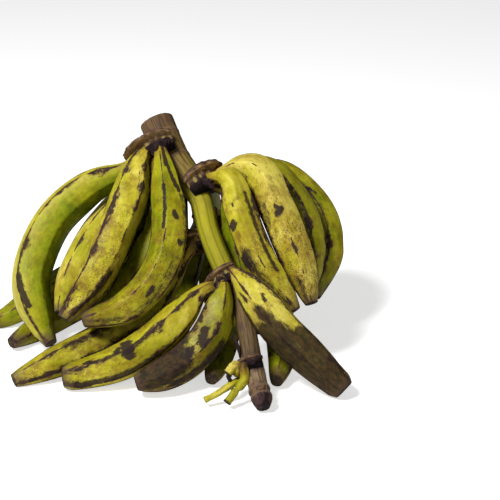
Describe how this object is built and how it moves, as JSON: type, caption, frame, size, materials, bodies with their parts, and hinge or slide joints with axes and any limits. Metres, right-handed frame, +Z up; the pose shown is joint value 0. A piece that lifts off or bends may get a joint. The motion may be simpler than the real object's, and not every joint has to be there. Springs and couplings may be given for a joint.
{
  "type": "plantain bunch",
  "caption": "Bunch of green plantains on its cut stalk, laid down: curved angular fruits grow in hands from crowns round a leaning stalk.",
  "frame": {"origin": "on the table, under the centre of the bunch's box", "axes": "+Z up; -Y towards the viewer of the picture, where the stalk's thin end lies; +X to the viewer's right; the stalk's cut end leans up and back to -X and +Y"},
  "size_m": [0.4528, 0.3783, 0.2664],
  "materials": {
    "peel": "waxy yellow-green peel, bruised brown along its ridges",
    "crown": "dry brown scar tissue, dull",
    "stalk": "fibrous, olive to brown, dull",
    "dry": "dried, dark purple-brown, dull"
  },
  "bodies": {
    "root": {"stalk": "stalk", "bract": "dry", "hand_1_crown": "crown", "hand_2_crown": "crown", "hand_3_crown": "crown", "hand_4_crown": "crown", "hand_5_crown": "crown", "hand_6_crown": "crown", "stunted_crown": "crown", "stunted_finger_1": "peel", "stunted_finger_2": "peel", "stunted_finger_3": "peel", "finger_1_1": "peel", "finger_1_2": "peel", "finger_1_3": "peel", "finger_1_4": "peel", "finger_1_5": "peel", "finger_1_6": "peel", "finger_2_1": "peel", "finger_2_2": "peel", "finger_2_3": "peel", "finger_2_4": "peel", "finger_2_5": "peel", "finger_3_1": "peel", "finger_3_2": "peel", "finger_3_3": "peel", "finger_4_1": "peel", "finger_4_2": "peel", "finger_4_3": "peel", "finger_5_1": "peel", "finger_5_2": "peel", "finger_5_3": "peel", "finger_6_1": "peel", "finger_6_2": "peel", "finger_6_3": "peel"}
  },
  "joints": []
}
